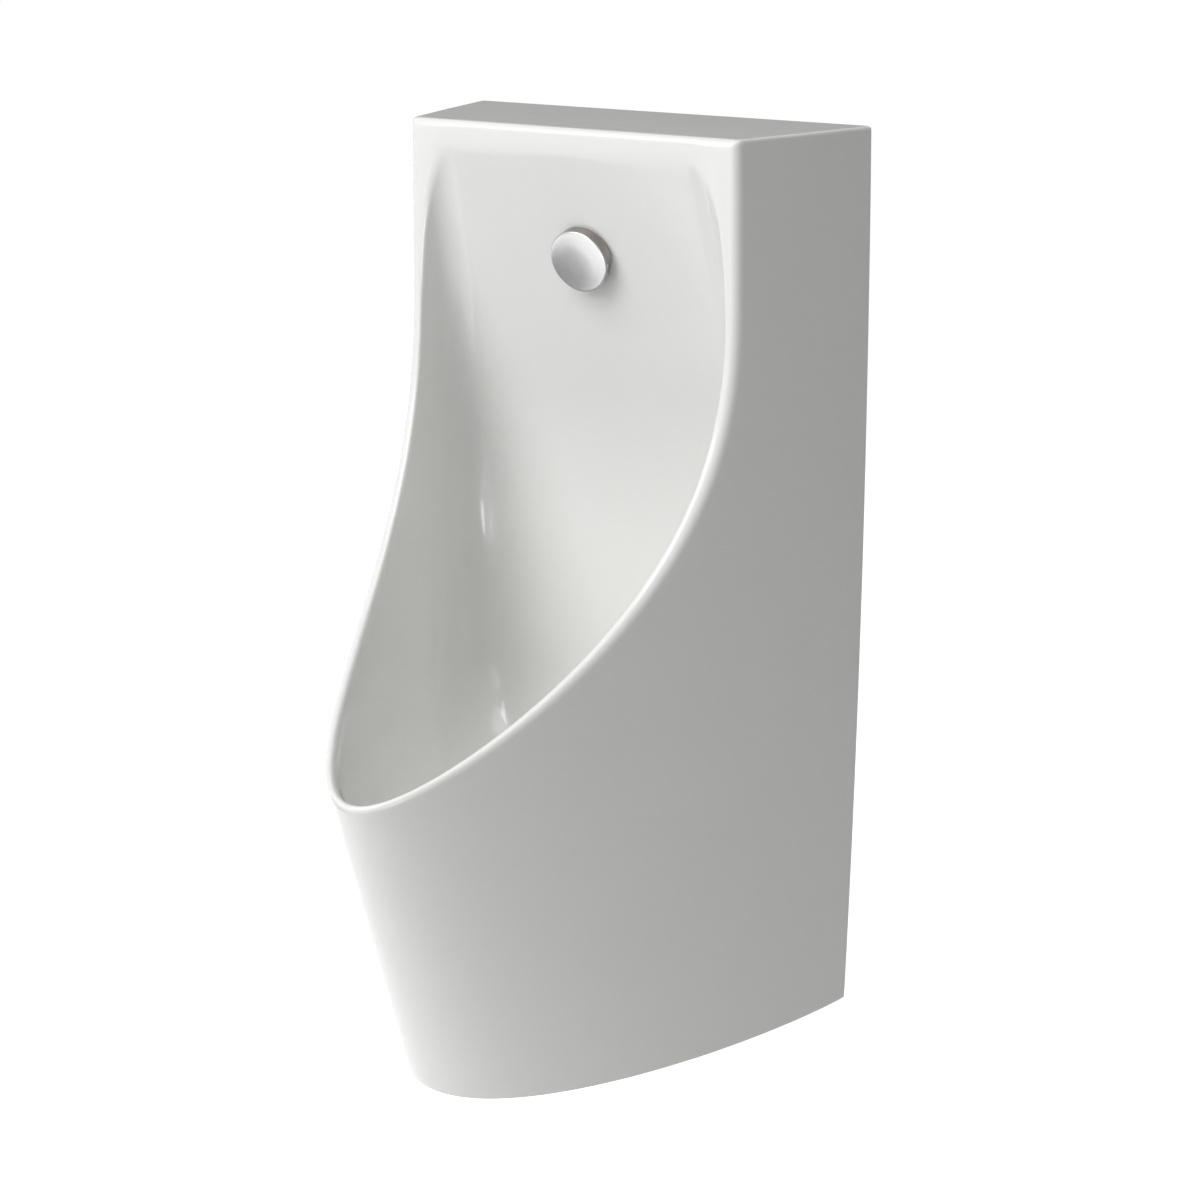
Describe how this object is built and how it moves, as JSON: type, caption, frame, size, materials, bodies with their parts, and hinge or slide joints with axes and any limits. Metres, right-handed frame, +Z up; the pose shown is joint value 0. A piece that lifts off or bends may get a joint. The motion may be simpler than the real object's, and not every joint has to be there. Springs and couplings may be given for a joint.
{
  "type": "wall hung urinal",
  "caption": "Wall hung urinal in white china with an open skirt, a round flush spreader on a leaning back panel, a lift-out strainer and trap insert, and hidden wall hangers.",
  "frame": {"origin": "on the wall plane, on the centre line, level with the lower edge of the skirt", "axes": "+Z up, +Y into the wall, -Y towards the user, +X to the right of a user facing the wall"},
  "size_m": [0.3368, 0.38, 0.65],
  "materials": {
    "glaze": "white gloss glaze",
    "chrome": "bright chrome plate",
    "brass": "bare turned brass",
    "stainless": "brushed stainless steel",
    "zinc_steel": "zinc plated steel",
    "black_rubber": "matt black rubber",
    "grey_rubber": "matt grey rubber",
    "white_plastic": "moulded white polypropylene",
    "grey_plastic": "moulded grey polypropylene"
  },
  "bodies": {
    "root": {"china_body": "glaze", "spreader_gasket": "black_rubber", "spreader_body": "chrome", "spreader_cap": "chrome", "panel_washer": "black_rubber", "slip_washer": "brass", "spreader_lock_nut": "brass", "supply_washer": "black_rubber", "supply_union_nut": "brass", "supply_pipe": "stainless", "waste_gasket": "black_rubber", "waste_flange": "stainless", "trap_gasket": "black_rubber", "trap_body": "white_plastic", "outlet_pipe": "white_plastic", "outlet_seal": "black_rubber", "outlet_nut": "white_plastic", "wall_rose": "grey_rubber", "hanger_bracket": "zinc_steel", "hanger_pad": "black_rubber", "foot_bracket": "zinc_steel", "foot_pad": "black_rubber", "foot_bolt": "zinc_steel", "foot_washer": "zinc_steel", "foot_nut": "zinc_steel"},
    "trap_insert": {"trap_insert": "grey_plastic", "insert_ring": "black_rubber"},
    "strainer": {"strainer": "stainless"}
  },
  "joints": [
    {"name": "insert_lift", "type": "slide", "parent": "root", "child": "trap_insert", "axis": [0, 0, 1], "range_m": [0, 0.2]},
    {"name": "strainer_lift", "type": "slide", "parent": "trap_insert", "child": "strainer", "axis": [0, 0, 1], "range_m": [0, 0.15]}
  ]
}
